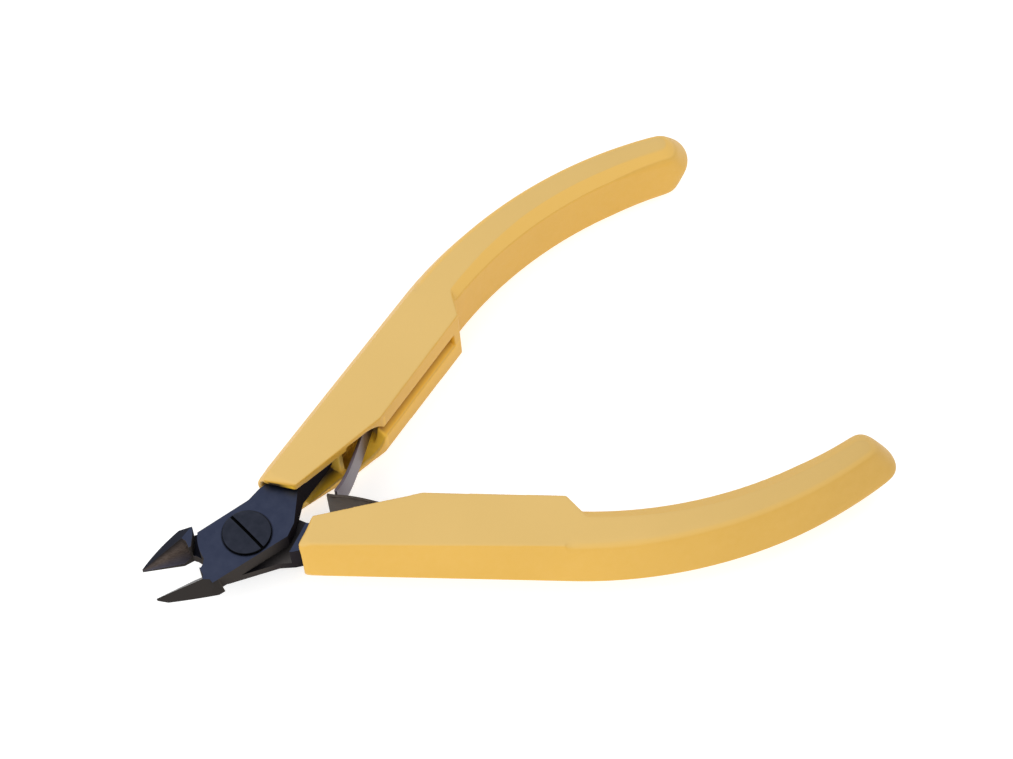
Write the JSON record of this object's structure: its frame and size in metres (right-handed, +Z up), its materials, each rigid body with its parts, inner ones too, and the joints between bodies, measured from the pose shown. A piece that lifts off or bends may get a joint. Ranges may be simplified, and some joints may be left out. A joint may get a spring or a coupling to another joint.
{
  "type": "diagonal cutting pliers",
  "caption": "Small spring-opened diagonal cutters with flush-ground jaws, a lapped screw joint, moulded handles and leaf return springs",
  "frame": {"origin": "on the surface the closed-lying tool rests on, under the middle of its bounding box with the jaws open at rest", "axes": "+X runs from the cutting tips to the handle tails along the line that halves the opening, +Y towards the upper handle, +Z up through the screw head"},
  "size_m": [0.1044, 0.0732, 0.0112],
  "materials": {
    "steel": "dark burnished, ground bevels",
    "screw_steel": "dark burnished",
    "grip": "fine moulded satin, yellow ochre",
    "spring_steel": "rolled spring steel, semi-bright",
    "rivet_steel": "plain"
  },
  "bodies": {
    "back_half": {"half_back": "steel", "grip_lower": "grip", "pivot_screw": "screw_steel", "spring_rivet_lower": "rivet_steel"},
    "front_half": {"half_front": "steel", "grip_upper": "grip", "spring_rivet_upper": "rivet_steel"},
    "spring_lower": {"leaf_spring_lower": "spring_steel"},
    "spring_upper": {"leaf_spring_upper": "spring_steel"}
  },
  "joints": [
    {"name": "pivot", "type": "hinge", "parent": "back_half", "child": "front_half", "pos_m": [-0.03664, 0, 0.0056], "axis": [0, 0, 1], "range_deg": [-18.2, 0], "stiffness_Nm_per_rad": 0.8, "springref_deg": 6.88},
    {"name": "leaf_flex_lower", "type": "hinge", "parent": "back_half", "child": "spring_lower", "pos_m": [-0.00775, -0.014, 0.0056], "axis": [0, 0, 1], "range_deg": [0, 7]},
    {"name": "leaf_flex_upper", "type": "hinge", "parent": "front_half", "child": "spring_upper", "pos_m": [-0.00775, 0.014, 0.0056], "axis": [0, 0, 1], "range_deg": [-7, 0]}
  ],
  "couplings": [
    {"joint": "leaf_flex_lower", "follows": "pivot", "ratio": -0.38},
    {"joint": "leaf_flex_upper", "follows": "pivot", "ratio": 0.38}
  ]
}
